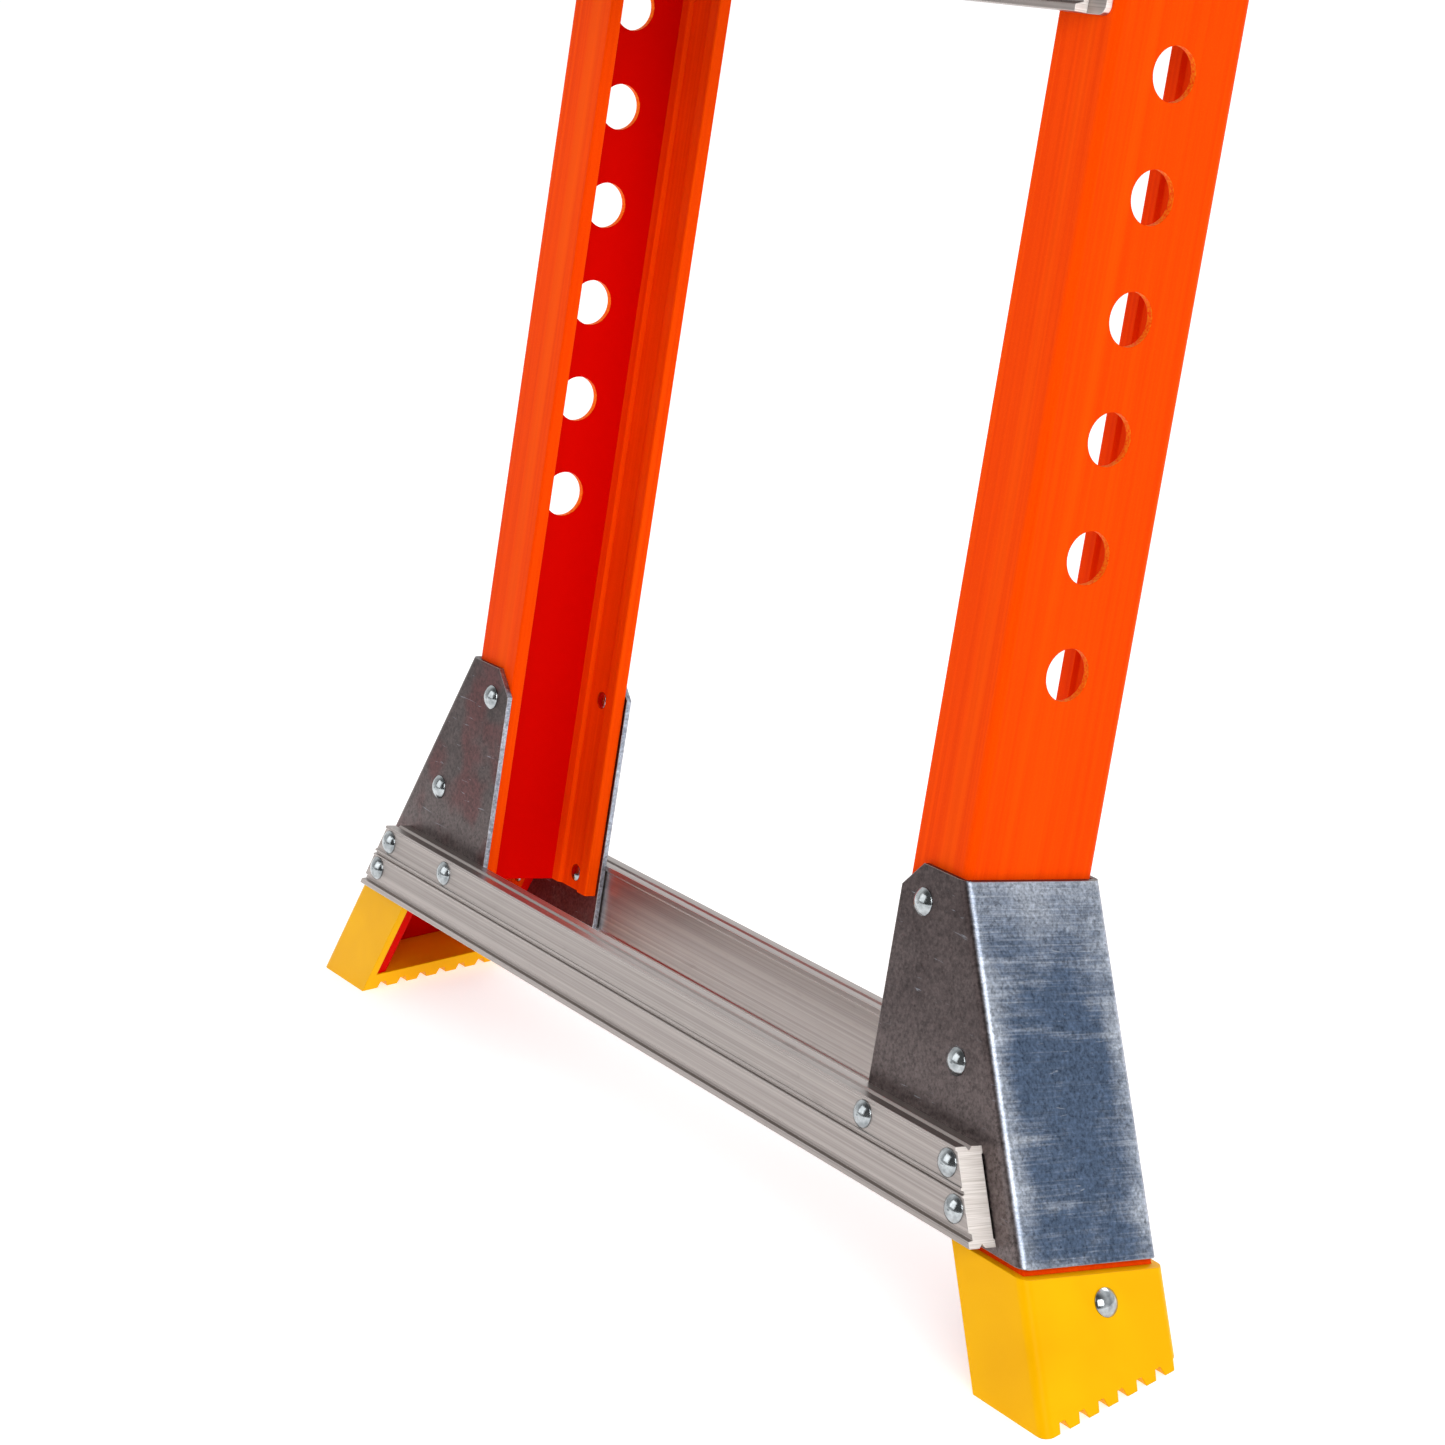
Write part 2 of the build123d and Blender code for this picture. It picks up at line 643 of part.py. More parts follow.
def tread(z):
    """Box-section tread on a back plate, top level at the working angle, with a grip on top."""
    back = -(TAB_THICK + 2 * FIT)
    plate = back - TREAD_PLATE
    nose = plate - TREAD_DEPTH
    drop = TREAD_DEPTH * level
    low, high = z + TREAD_BOX_LOW, z + tread_high
    wall = TREAD_WALL
    with BuildPart() as step:
        with BuildSketch(section) as outline:
            with BuildLine():
                Polyline(
                    (back, z), (back - TREAD_BEAD, z), (back - TREAD_BEAD, z + TREAD_BEAD_HEIGHT),
                    (plate, z + TREAD_BEAD_HEIGHT + 1.2),
                    (plate, low), (nose, low - drop), (nose, high - drop), (plate, high),
                    (plate, high + TREAD_UPSTAND), (back, high + TREAD_UPSTAND),
                    close=True,
                )
            make_face()
            fillet(outline.vertices().group_by(Axis.X)[0], TREAD_NOSE_R)
            with BuildLine():
                Polyline(
                    (plate - wall, low + wall - wall * level),
                    (nose + wall, low + wall - drop + wall * level),
                    (nose + wall, high - wall - drop + wall * level),
                    (plate - wall, high - wall - wall * level),
                    close=True,
                )
            make_face(mode=Mode.SUBTRACT)
        extrude(amount=tread_end, both=True)
        grip = Plane(
            origin=(0, nose, high - drop),
            x_dir=(0, cos(radians(LEAN)), sin(radians(LEAN))),
            z_dir=(1, 0, 0),
        )
        span = TREAD_DEPTH / cos(radians(LEAN)) - 2 * TREAD_GRIP_MARGIN
        grooves = range(int(span / TREAD_GRIP_PITCH) + 1)
        with BuildSketch(grip):
            with Locations(*[(TREAD_GRIP_MARGIN + TREAD_GRIP_PITCH * k, 0) for k in grooves]):
                Rectangle(TREAD_GRIP_WIDTH, 2 * GRIP_DEPTH)
        extrude(amount=tread_end, both=True, mode=Mode.SUBTRACT)
        with BuildSketch(Plane.XZ.offset(THROUGH)):
            holes = [p for p in tread_rivets if z < p[1] < z + TREAD_PITCH]
            with Locations(*both_sides(holes)):
                Circle(rivet_hole_r)
        extrude(amount=-THROUGH, mode=Mode.SUBTRACT)
    return step.part


def tread_end_plates():
    inner = rail_in + TAB_INSET
    wide = rail_out - TAB_MARGIN - inner
    tall = tread_high + TREAD_UPSTAND
    middle = inner + wide / 2
    with BuildPart() as plates:
        with BuildSketch(Plane.XZ.offset(FIT)):
            with Locations(*[(middle, z + tall / 2) for z in tread_levels]):
                RectangleRounded(wide, tall, TAB_CORNER)
            with Locations(*tread_rivets):
                Circle(rivet_hole_r, mode=Mode.SUBTRACT)
        extrude(amount=TAB_THICK)
    return plates.part


def base_guide():
    """Plastic cap on the top of a base rail: a skirt outside the rail, a lip that guides the fly."""
    low = base_top - GUIDE_SKIRT
    with BuildPart() as cap:
        with BuildSketch(Plane.XY.offset(low)):
            wide = rail_out + GUIDE_WALL - rail_in + GUIDE_REACH
            with Locations((rail_out + GUIDE_WALL - wide / 2, rail_mid)):
                RectangleRounded(wide, RAIL_DEPTH + 2 * GUIDE_WALL, GUIDE_CORNER)
        extrude(amount=GUIDE_SKIRT + GUIDE_LIP)
        with BuildSketch(Plane.XY.offset(low)):
            reach = rail_out + FIT - rail_in + 2 * GUIDE_REACH
            with Locations((rail_out + FIT - reach / 2, rail_mid)):
                Rectangle(reach, RAIL_DEPTH + 2 * FIT)
        extrude(amount=GUIDE_SKIRT + FIT, mode=Mode.SUBTRACT)
        with BuildSketch(Plane.XY.offset(low)):
            reach = fly_out + SLIDE_GAP - rail_in + 2 * GUIDE_REACH
            with Locations((fly_out + SLIDE_GAP - reach / 2, rail_mid)):
                Rectangle(reach, fly_back - fly_front + 2 * SLIDE_GAP)
        extrude(amount=GUIDE_SKIRT + GUIDE_LIP + 1, mode=Mode.SUBTRACT)
        with BuildSketch(section):
            with Locations(*guide_screw_spots):
                Circle(screw_hole_r)
        extrude(amount=rail_out + THROUGH, mode=Mode.SUBTRACT)
    return cap.part


# ---- Fly section ----
def fly_rail():
    with BuildPart() as rail:
        with BuildSketch(Plane.XY.offset(fly_foot)) as outline:
            with BuildLine():
                Polyline(
                    *channel_outline(fly_in, fly_out, fly_front, fly_back, FLY_WEB, FLY_FLANGE_THICK),
                    close=True,
                )
            make_face()
            fillet(outline.vertices().group_by(Axis.X)[-1], FLY_CORNER)
        extrude(amount=fly_top - fly_foot)
        with BuildSketch(section):
            with Locations((rail_mid, lock_z)):
                Circle(bolt_d / 2 + FREE_GAP)
            with Locations(*collar_rivet_spots):
                Circle(collar_hole_r)
            with Locations(*lock_screw_spots):
                Circle(screw_hole_r)
        extrude(amount=rail_out, mode=Mode.SUBTRACT)
    return rail.part


def fly_rung(z):
    """Tube with a flat, grooved top that lies level at the working angle."""
    middle = Plane(
        origin=(0, rail_mid, z),
        x_dir=(0, cos(radians(LEAN)), sin(radians(LEAN))),
        z_dir=(1, 0, 0),
    )
    reach = fly_web_in - FIT
    with BuildPart() as rung:
        with BuildSketch(middle):
            Circle(RUNG_D / 2)
            with Locations((0, RUNG_FLAT + RUNG_D / 2)):
                Rectangle(RUNG_D, RUNG_D, mode=Mode.SUBTRACT)
            with Locations((0, RUNG_FLAT)):
                with GridLocations(RUNG_GRIP_PITCH, 0, RUNG_GRIPS, 1):
                    Rectangle(RUNG_GRIP_WIDTH, 2 * GRIP_DEPTH, mode=Mode.SUBTRACT)
            with BuildSketch(mode=Mode.PRIVATE) as bore:
                Circle(RUNG_D / 2 - RUNG_WALL)
                with Locations((0, RUNG_FLAT - RUNG_WALL + RUNG_D / 2)):
                    Rectangle(RUNG_D, RUNG_D, mode=Mode.SUBTRACT)
            add(bore.sketch, mode=Mode.SUBTRACT)
        extrude(amount=reach, both=True)
    return rung.part


def rung_collars():
    """A plate on the web with a ring round the rung's end, one for each rung."""
    face = fly_web_in - FIT
    with BuildPart() as collars:
        with BuildSketch(Plane.YZ.offset(face - COLLAR_PLATE)):
            with Locations(*rung_spots):
                RectangleRounded(COLLAR_WIDE, COLLAR_TALL, COLLAR_CORNER)
        extrude(amount=COLLAR_PLATE)
        with BuildSketch(Plane.YZ.offset(face - COLLAR_BOSS)):
            with Locations(*rung_spots):
                Circle(RUNG_D / 2 + COLLAR_WALL)
        extrude(amount=COLLAR_BOSS)
        with BuildSketch(Plane.YZ.offset(face - COLLAR_BOSS)):
            with Locations(*rung_spots):
                Circle(RUNG_D / 2 + FIT)
            with Locations(*collar_rivet_spots):
                Circle(collar_hole_r)
        extrude(amount=COLLAR_BOSS, mode=Mode.SUBTRACT)
    return collars.part


def collar_rivets():
    grip = COLLAR_PLATE + FIT + FLY_WEB
    one = dome(COLLAR_HEAD_D, COLLAR_HEAD_H, COLLAR_RIVET_D, grip, COLLAR_TAIL_D, COLLAR_TAIL_H)
    x = fly_web_in - FIT - COLLAR_PLATE
    return group(one, [facing_in(x, y, z) for y, z in collar_rivet_spots])


def glide():
    """Plastic foot of a fly rail: it fills the rail's end and rides in the base channel."""
    x_low, x_high = fly_in - GUIDE_REACH, web_in - SLIDE_GAP
    y_low = LIP_THICK + SLIDE_GAP
    with BuildPart() as pad:
        with BuildSketch(Plane.XY.offset(fly_foot - GLIDE_SOLE)):
            with Locations(((x_low + x_high) / 2, rail_mid)):
                RectangleRounded(x_high - x_low, RAIL_DEPTH - 2 * y_low, LIP_EDGE)
        extrude(amount=GLIDE_SOLE + GLIDE_LENGTH)
        with BuildSketch(Plane.XY.offset(fly_foot - FIT)):
            with BuildLine():
                Polyline(
                    *channel_outline(
                        fly_in, fly_out, fly_front, fly_back, FLY_WEB, FLY_FLANGE_THICK, FIT
                    ),
                    close=True,
                )
            make_face()
        extrude(amount=GLIDE_LENGTH + 1, mode=Mode.SUBTRACT)
    return pad.part


def end_boot():
    """Cap on the top of a fly rail, with a pad whose face stands upright against the wall."""
    x_low, x_high = fly_in - BOOT_WALL, fly_out + BOOT_WALL
    low, high = boot_low, fly_top + BOOT_TOP
    back = fly_back + BOOT_WALL
    pad_low = low + BOOT_PAD_START
    with BuildPart() as boot:
        with BuildSketch(Plane.YZ.offset(x_low)):
            with BuildLine():
                Polyline(
                    (fly_front - BOOT_WALL, low),
                    (back, low),
                    (back + BOOT_PAD, pad_low),
                    (back + BOOT_PAD - (high - pad_low) * level, high),
                    (fly_front - BOOT_WALL, high),
                    close=True,
                )
            make_face()
        extrude(amount=x_high - x_low)
        fillet(boot.edges().filter_by(Axis.Z), BOOT_CORNER)
        with BuildSketch(Plane.XY.offset(low)):
            with Locations(((fly_in + fly_out) / 2, rail_mid)):
                Rectangle(fly_out - fly_in + 2 * FIT, fly_back - fly_front + 2 * FIT)
        extrude(amount=BOOT_SKIRT + FIT, mode=Mode.SUBTRACT)
    return boot.part


# ---- Lock bolts, drawn along X ----
def lock_housing():
    with BuildPart() as body:
        with BuildSketch(Plane.YZ.offset(lock_in)):
            with Locations((rail_mid, lock_z)):
                RectangleRounded(LOCK_BODY_Y, LOCK_BODY_Z, LOCK_CORNER)
        extrude(amount=LOCK_BODY_DEPTH)
        with BuildSketch(Plane.YZ.offset(lock_in)):
            with Locations((rail_mid, lock_z)):
                Circle(chamber_d / 2)
        extrude(amount=LOCK_BODY_DEPTH - LOCK_STEP, mode=Mode.SUBTRACT)
        with BuildSketch(Plane.YZ.offset(lock_in)):
            with Locations((rail_mid, lock_z)):
                Circle(bolt_d / 2 + BORE_GAP)
            with Locations(*lock_screw_spots):
                Circle(screw_hole_r)
        extrude(amount=LOCK_BODY_DEPTH, mode=Mode.SUBTRACT)
    return body.part


def lock_cover():
    with BuildPart() as plate:
        with BuildSketch(Plane.YZ.offset(lock_in - FIT - LOCK_COVER)):
            with Locations((rail_mid, lock_z)):
                RectangleRounded(LOCK_BODY_Y, LOCK_BODY_Z, LOCK_CORNER)
                Circle(BOLT_STEM_D / 2 + BORE_GAP, mode=Mode.SUBTRACT)
            with Locations(*lock_screw_spots):
                Circle(screw_hole_r, mode=Mode.SUBTRACT)
        extrude(amount=LOCK_COVER)
    return plate.part


def lock_bolt():
    nose = rail_out + BOLT_PROUD
    axis = Axis((0, rail_mid, lock_z), (1, 0, 0))
    body, stem, collar = bolt_d / 2, BOLT_STEM_D / 2, chamber_d / 2 - FREE_GAP
    side = Plane(origin=(0, rail_mid, lock_z), x_dir=(1, 0, 0), z_dir=(0, -1, 0))
    with BuildPart() as bolt:
        with BuildSketch(side):
            with BuildLine():
                Polyline(
                    (stem_end, 0), (nose, 0), (nose, body - BOLT_EASE), (nose - BOLT_EASE, body),
                    (collar_x + BOLT_COLLAR, body), (collar_x + BOLT_COLLAR, collar),
                    (collar_x, collar), (collar_x, stem), (stem_end, stem), close=True,
                )
            make_face()
        revolve(axis=axis)
    return bolt.part


def lock_knob():
    with BuildPart() as knob:
        with BuildSketch(Plane.YZ.offset(knob_out - KNOB_THICK)):
            with Locations((rail_mid, lock_z)):
                Circle(KNOB_D / 2)
                with PolarLocations(KNOB_D / 2 + KNOB_SCALLOP_OUT, KNOB_SCALLOPS):
                    Circle(KNOB_SCALLOP_R, mode=Mode.SUBTRACT)
        extrude(amount=KNOB_THICK)
        rim = knob.edges().filter_by(GeomType.LINE, reverse=True).group_by(Axis.X)[0]
        fillet(rim, KNOB_EDGE)
        with BuildSketch(Plane.YZ.offset(stem_end - FIT)):
            with Locations((rail_mid, lock_z)):
                Circle(BOLT_STEM_D / 2 + FIT)
        extrude(amount=KNOB_THICK, mode=Mode.SUBTRACT)
    return knob.part


def lock_spring():
    length = collar_x - lock_in - SPRING_WIRE - 2 * FIT
    radius = (BOLT_STEM_D / 2 + chamber_d / 2) / 2
    start = lock_in + SPRING_WIRE / 2 + FIT
    with BuildPart() as coil:
        with BuildLine() as path:
            Helix(
                pitch=length / SPRING_TURNS,
                height=length,
                radius=radius,
                center=(start, rail_mid, lock_z),
                direction=(1, 0, 0),
            )
        with BuildSketch(Plane(origin=path.line @ 0, z_dir=path.line % 0)):
            Circle(SPRING_WIRE / 2)
        sweep(is_frenet=True)
    return coil.part


def lock_screws():
    one = screw(LOCK_COVER + FIT + LOCK_BODY_DEPTH + FIT + FLY_WEB)
    return group(one, [facing_in(cover_face, y, z) for y, z in lock_screw_spots])


# ---- Build every piece ----
keep_pair(base_rail(), "base_rail")
keep_pair(flare_stub(), "flare_stub")
keep_pair(flare_bracket(), "flare_bracket")
keep(base_bar(BAR_SETBACK, front_bar_rivets, at_back=False), "base_bar_front")
keep(base_bar(BAR_BACK_SETBACK, back_bar_rivets, at_back=True), "base_bar_back")
keep_pair(shoe(), "shoe")

gusset_grip = SHEET + FIT + FLANGE_THICK
bar_grip = gusset_grip + BAR_THICK + FIT - BAR_RELIEF
gusset_face = SHEET + FIT
bar_face = gusset_face + BAR_THICK + FIT - BAR_RELIEF
for name, front_spots, back_spots, grip, face in (
    ("gusset_rivets", gusset_rivets, gusset_rivets, gusset_grip, gusset_face),
    ("bar_rivets", front_bar_rivets, back_bar_rivets, bar_grip, bar_face),
):
    front = [facing_front(x, -face, z) for x, z in both_sides(front_spots)]
    back = [facing_back(x, RAIL_DEPTH + face, z) for x, z in both_sides(back_spots)]
    keep(group(rivet(grip), front), name + "_front")
    keep(group(rivet(grip), back), name + "_back")
shoe_grip = SHOE_PROUD + SHEET + FIT + RAIL_WEB
keep_pair(group(rivet(shoe_grip), [shoe_rivet_plane()]), "shoe_rivet")

for number, z in enumerate(tread_levels, start=1):
    keep(tread(z), f"base_tread_{number}")
keep_pair(tread_end_plates(), "tread_end_plates")
tread_face = TAB_THICK + 2 * FIT + TREAD_PLATE
keep(
    group(
        rivet(tread_face + FLANGE_THICK, tail_h=LOW_TAIL_H),
        [facing_front(x, -tread_face, z) for x, z in both_sides(tread_rivets)],
    ),
    "tread_rivets",
)
keep_pair(base_guide(), "base_guide")
guide_face = rail_out + GUIDE_WALL
keep_pair(
    group(screw(GUIDE_WALL + RAIL_WEB), [facing_out(guide_face, y, z) for y, z in guide_screw_spots]),
    "guide_screws",
)

keep_pair(fly_rail(), "fly_rail")
for number, z in enumerate(rung_levels, start=1):
    keep(fly_rung(z), f"fly_rung_{number}")
keep_pair(rung_collars(), "rung_collars")
keep_pair(collar_rivets(), "collar_rivets")
keep_pair(glide(), "fly_glide")
keep_pair(end_boot(), "end_boot")
keep_pair(lock_housing(), "lock_housing")
keep_pair(lock_cover(), "lock_cover")
keep_pair(lock_screws(), "lock_screws")
keep_pair(lock_bolt(), "lock_bolt")
keep_pair(lock_knob(), "lock_knob")
keep_pair(lock_spring(), "lock_spring")

# ---- Lean the ladder onto its soles and centre it over the origin ----
os.makedirs("parts", exist_ok=True)
leaning = Location((0, 0, SOLE_DROP), (-LEAN, 0, 0))
placed = {piece.label: piece.moved(leaning) for piece in pieces}
boxes = [piece.bounding_box() for piece in placed.values()]
centre_y = (min(box.min.Y for box in boxes) + max(box.max.Y for box in boxes)) / 2
for label, piece in placed.items():
    piece = piece.moved(Location((0, -centre_y, 0)))
    piece.label = label
    export_step(piece, f"parts/{label}.step")
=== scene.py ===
import json
import math

import bpy
from mathutils import Matrix, Quaternion, Vector

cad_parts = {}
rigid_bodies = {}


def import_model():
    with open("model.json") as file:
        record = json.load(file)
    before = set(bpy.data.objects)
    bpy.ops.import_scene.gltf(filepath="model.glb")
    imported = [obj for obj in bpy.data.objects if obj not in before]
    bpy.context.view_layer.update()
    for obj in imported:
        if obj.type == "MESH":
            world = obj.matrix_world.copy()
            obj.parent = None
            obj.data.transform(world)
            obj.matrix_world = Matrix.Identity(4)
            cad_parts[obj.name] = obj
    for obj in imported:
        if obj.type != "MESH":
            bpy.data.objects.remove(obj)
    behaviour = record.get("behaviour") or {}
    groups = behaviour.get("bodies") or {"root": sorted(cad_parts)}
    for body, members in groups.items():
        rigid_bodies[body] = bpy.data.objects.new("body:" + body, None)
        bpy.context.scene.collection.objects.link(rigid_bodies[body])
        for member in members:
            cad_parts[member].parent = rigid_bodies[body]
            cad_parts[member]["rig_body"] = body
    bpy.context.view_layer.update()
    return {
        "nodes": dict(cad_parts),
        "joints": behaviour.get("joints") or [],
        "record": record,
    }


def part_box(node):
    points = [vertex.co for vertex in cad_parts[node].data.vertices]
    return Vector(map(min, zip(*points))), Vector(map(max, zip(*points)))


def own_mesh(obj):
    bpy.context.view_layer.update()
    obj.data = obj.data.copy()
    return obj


# Looks for a leaning two-section extension ladder. Lengths are in metres and angles in degrees.
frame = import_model()

# ---- Camera, measured from the floor midway between the shoes ----
CAMERA_OFFSET = (1.2264, -0.7540, 0.7047)
CAMERA_AZIMUTH = 57.57
CAMERA_DOWN = 18.87
CAMERA_ROLL = 3.42
CAMERA_LENS = 81.42         # mm, on the 36 mm sensor
SENSOR = 36.0

# ---- Studio ----
FLOOR_REACH = 20.0          # from the middle of the floor to each side
FLOOR_GLOW = 0.55
LIGHT_AIM = (0.0, 0.0, 0.6)
DIM_SIDE = (0.35, -0.72, 0.60)      # towards the dim part of the surroundings
SOFTBOXES = (               # name, place, length of a side, watts
    ("key", (3.6, -1.6, 2.4), 2.4, 95),
    ("fill", (-1.0, -3.6, 2.0), 2.6, 36),
    ("back", (-1.5, 4.0, 3.5), 2.6, 55),
)

# ---- Colours, linear ----
ORANGE = (0.930, 0.066, 0.0002)
ORANGE_DEEP = (0.850, 0.050, 0.0002)
ORANGE_PALE = (0.980, 0.110, 0.0008)
# painted shade: the darker red given to the channel's inner faces
CHANNEL_SHADE_RED = (0.640, 0.0010, 0.0001)
ORANGE_SHEEN = (1.000, 0.300, 0.020)
YELLOW_SHEEN = (1.000, 0.850, 0.300)
CUT_LAMINATE = (0.960, 0.270, 0.012)
ZINC_LIGHT = (0.440, 0.480, 0.550)
# painted reflection: the dark blue that the bracket's sideways faces get
ZINC_REFLECTED_BLUE = (0.080, 0.118, 0.190)
# painted reflection: the dark brown that the bracket's faces front and back get
ZINC_REFLECTED_BROWN = (0.052, 0.038, 0.038)
ZINC_RUDDY = (0.120, 0.030, 0.032)
# painted highlight along the sheet's sharp edges
ZINC_EDGE_HIGHLIGHT = (0.620, 0.590, 0.560)
# lighter tone for the faces front and back, towards the bottom and in patches
ZINC_FACE_PALE = (0.150, 0.122, 0.120)
DRAWN_LIGHT = (0.460, 0.415, 0.395)
DRAWN_DARK = (0.270, 0.240, 0.228)
SAWN_END = (0.960, 0.900, 0.860)
SAWN_DARK = (0.660, 0.600, 0.550)
YELLOW = (0.980, 0.500, 0.0005)
YELLOW_DEEP = (0.900, 0.430, 0.0003)
YELLOW_DUSTY = (0.620, 0.360, 0.030)
BLACK = (0.020, 0.020, 0.022)
BLACK_WORN = (0.060, 0.060, 0.064)
CAST_LIGHT = (0.480, 0.485, 0.490)
CAST_DARK = (0.300, 0.300, 0.305)
PLATED_LIGHT = (0.560, 0.600, 0.620)
PLATED_DARK = (0.260, 0.285, 0.300)
WHITE = (1.0, 1.0, 1.0)
FLOOR_WHITE = (0.80, 0.80, 0.80)

# ---- Roughness, from the smoothest spots to the roughest ----
LAMINATE_ROUGH = (0.36, 0.52)
ZINC_ROUGH = (0.30, 0.48)
DRAWN_ROUGH = (0.27, 0.42)
CAST_ROUGH = (0.42, 0.60)
YELLOW_ROUGH = (0.26, 0.38)
BLACK_ROUGH = (0.45, 0.62)
RIVET_ROUGH = (0.10, 0.22)
STEEL_ROUGH = (0.18, 0.32)

# ---- How metallic, and how strongly a plastic mirrors ----
ZINC_METAL = 0.92
DRAWN_METAL = 0.90
CAST_METAL = 0.85
LAMINATE_SHINE = 0.035
YELLOW_SHINE = 0.09

# ---- Sizes that the finishes follow ----
RAIL_WALL = 0.0045          # a little more than the rail's web
FLANGE_ZONE = 0.009         # depth of a flange, from the rail's face
EDGE_ROUND = 0.0007          # radius that the shaders round sharp edges to
TOP_BAND = 0.045            # paler stretch at the bracket's top
PALER_LOW = 0.030           # above its lowest point, a bracket's faces are lighter up to here,
PALER_HIGH = 0.105          # and the lightening has faded out by here

# ---- How squarely a face must look along an axis to count as facing it ----
MOSTLY = 0.5
SQUARELY = 0.9

# The fly slides along the rails, so its joint says which way they lean.
slide = next(joint for joint in frame["joints"] if joint["name"] == "fly_slide")
rail_up = Vector(slide["axis"]).normalized()
lean = math.atan2(rail_up.y, rail_up.z)
upright = Matrix.Rotation(lean, 3, "X")


def rail_box(node):
    """Lowest and highest corner of a CAD node, in directions where the rails stand upright."""
    points = [upright @ vertex.co for vertex in frame["nodes"][node].data.vertices]
    low = Vector([min(p[k] for p in points) for k in range(3)])
    high = Vector([max(p[k] for p in points) for k in range(3)])
    return low, high


# ---- Shader building ----
def new_material(name):
    material = bpy.data.materials.new(name)
    material.use_nodes = True
    return material, material.node_tree


def add(tree, kind, links=None, **settings):
    """A shader node. Links holds its inputs: another node's socket, or a value."""
    node = tree.nodes.new("ShaderNode" + kind)
    for key, value in settings.items():
        setattr(node, key, value)
    for key, value in (links or {}).items():
        if isinstance(value, bpy.types.NodeSocket):
            tree.links.new(value, node.inputs[key])
        else:
            node.inputs[key].default_value = value
    return node


def math_node(tree, operation, *values):
    links = dict(enumerate(values))
    return add(tree, "Math", links, operation=operation).outputs[0]


def smooth(tree, value, low, high):
    """0 below low and 1 above high, with a soft step between them."""
    links = {"Value": value, "From Min": low, "From Max": high}
    return add(tree, "MapRange", links, interpolation_type="SMOOTHSTEP").outputs[0]


def blend(tree, share, first, second, kind="MIX"):
    node = tree.nodes.new("ShaderNodeMix")
    node.data_type = "RGBA"
    node.blend_type = kind
    sockets = (node.inputs[0], node.inputs[6], node.inputs[7])
    for socket, value in zip(sockets, (share, first, second)):
        if isinstance(value, bpy.types.NodeSocket):
            tree.links.new(value, socket)
        elif isinstance(value, tuple):
            socket.default_value = (*value, 1.0)
        else:
            socket.default_value = value
    return node.outputs[2]


def rail_coordinates(tree):
    """Position on the object, turned so that the rails stand upright."""
    position = add(tree, "TexCoord").outputs["Object"]
    links = {"Vector": position, "Angle": lean}
    return add(tree, "VectorRotate", links, rotation_type="X_AXIS").outputs[0]


def rail_normal(tree):
    """Direction that the surface faces, turned the same way."""
    normal = add(tree, "TexCoord").outputs["Normal"]
    links = {"Vector": normal, "Angle": lean}
    return add(tree, "VectorRotate", links, rotation_type="X_AXIS").outputs[0]


def split(tree, vector):
    return add(tree, "SeparateXYZ", {0: vector}).outputs


def stretched(tree, vector, x, y, z):
    links = {0: vector, 1: (x, y, z)}
    return add(tree, "VectorMath", links, operation="MULTIPLY").outputs[0]


def noise(tree, vector, scale=1.0, detail=3.0, roughness=0.55, distortion=0.0):
    links = {
        "Vector": vector,
        "Scale": scale,
        "Detail": detail,
        "Roughness": roughness,
        "Distortion": distortion,
    }
    return add(tree, "TexNoise", links).outputs["Fac"]


def grains(tree, vector, scale):
    """Random value from 0 to 1 for each crystal-like cell."""
    cells = add(tree, "TexVoronoi", {"Vector": vector, "Scale": scale})
    return add(tree, "SeparateColor", {0: cells.outputs["Color"]}).outputs[0]


def rounded(tree):
    return add(tree, "Bevel", {"Radius": EDGE_ROUND}, samples=6).outputs[0]


def edge_mask(tree, normal):
    """1 on sharp outer edges, 0 on flat surfaces."""
    flat = add(tree, "NewGeometry").outputs["Normal"]
    links = {0: flat, 1: normal}
    same = add(tree, "VectorMath", links, operation="DOT_PRODUCT").outputs["Value"]
    return smooth(tree, math_node(tree, "SUBTRACT", 1.0, same), 0.01, 0.16)


def bumped(tree, height, distance, normal, strength=1.0):
    links = {"Height": height, "Distance": distance, "Strength": strength, "Normal": normal}
    return add(tree, "Bump", links).outputs[0]


def finish_with(material, links):
    tree = material.node_tree
    shader = tree.nodes["Principled BSDF"]
    for key, value in links.items():
        if isinstance(value, bpy.types.NodeSocket):
            tree.links.new(value, shader.inputs[key])
        elif isinstance(value, tuple):
            shader.inputs[key].default_value = (*value, 1.0)
        else:
            shader.inputs[key].default_value = value
    return material


def share(tree, value, amount):
    """The value times a fixed amount, to weaken a mask."""
    return math_node(tree, "MULTIPLY", value, amount)


def ranged(tree, value, low, high):
    """A value from 0 to 1, moved to run from low to high."""
    return add(tree, "MapRange", {"Value": value, "To Min": low, "To Max": high}).outputs[0]


def finish_metal(material, tone, metal, rough, normal):
    links = {"Base Color": tone, "Metallic": metal, "Roughness": rough, "Normal": normal}
    return finish_with(material, links)


def spread(tree, value, low, high):
    """The part of a noise between low and high, stretched to 0 to 1."""
    return add(tree, "MapRange", {"Value": value, "From Min": low, "From Max": high}).outputs[0]


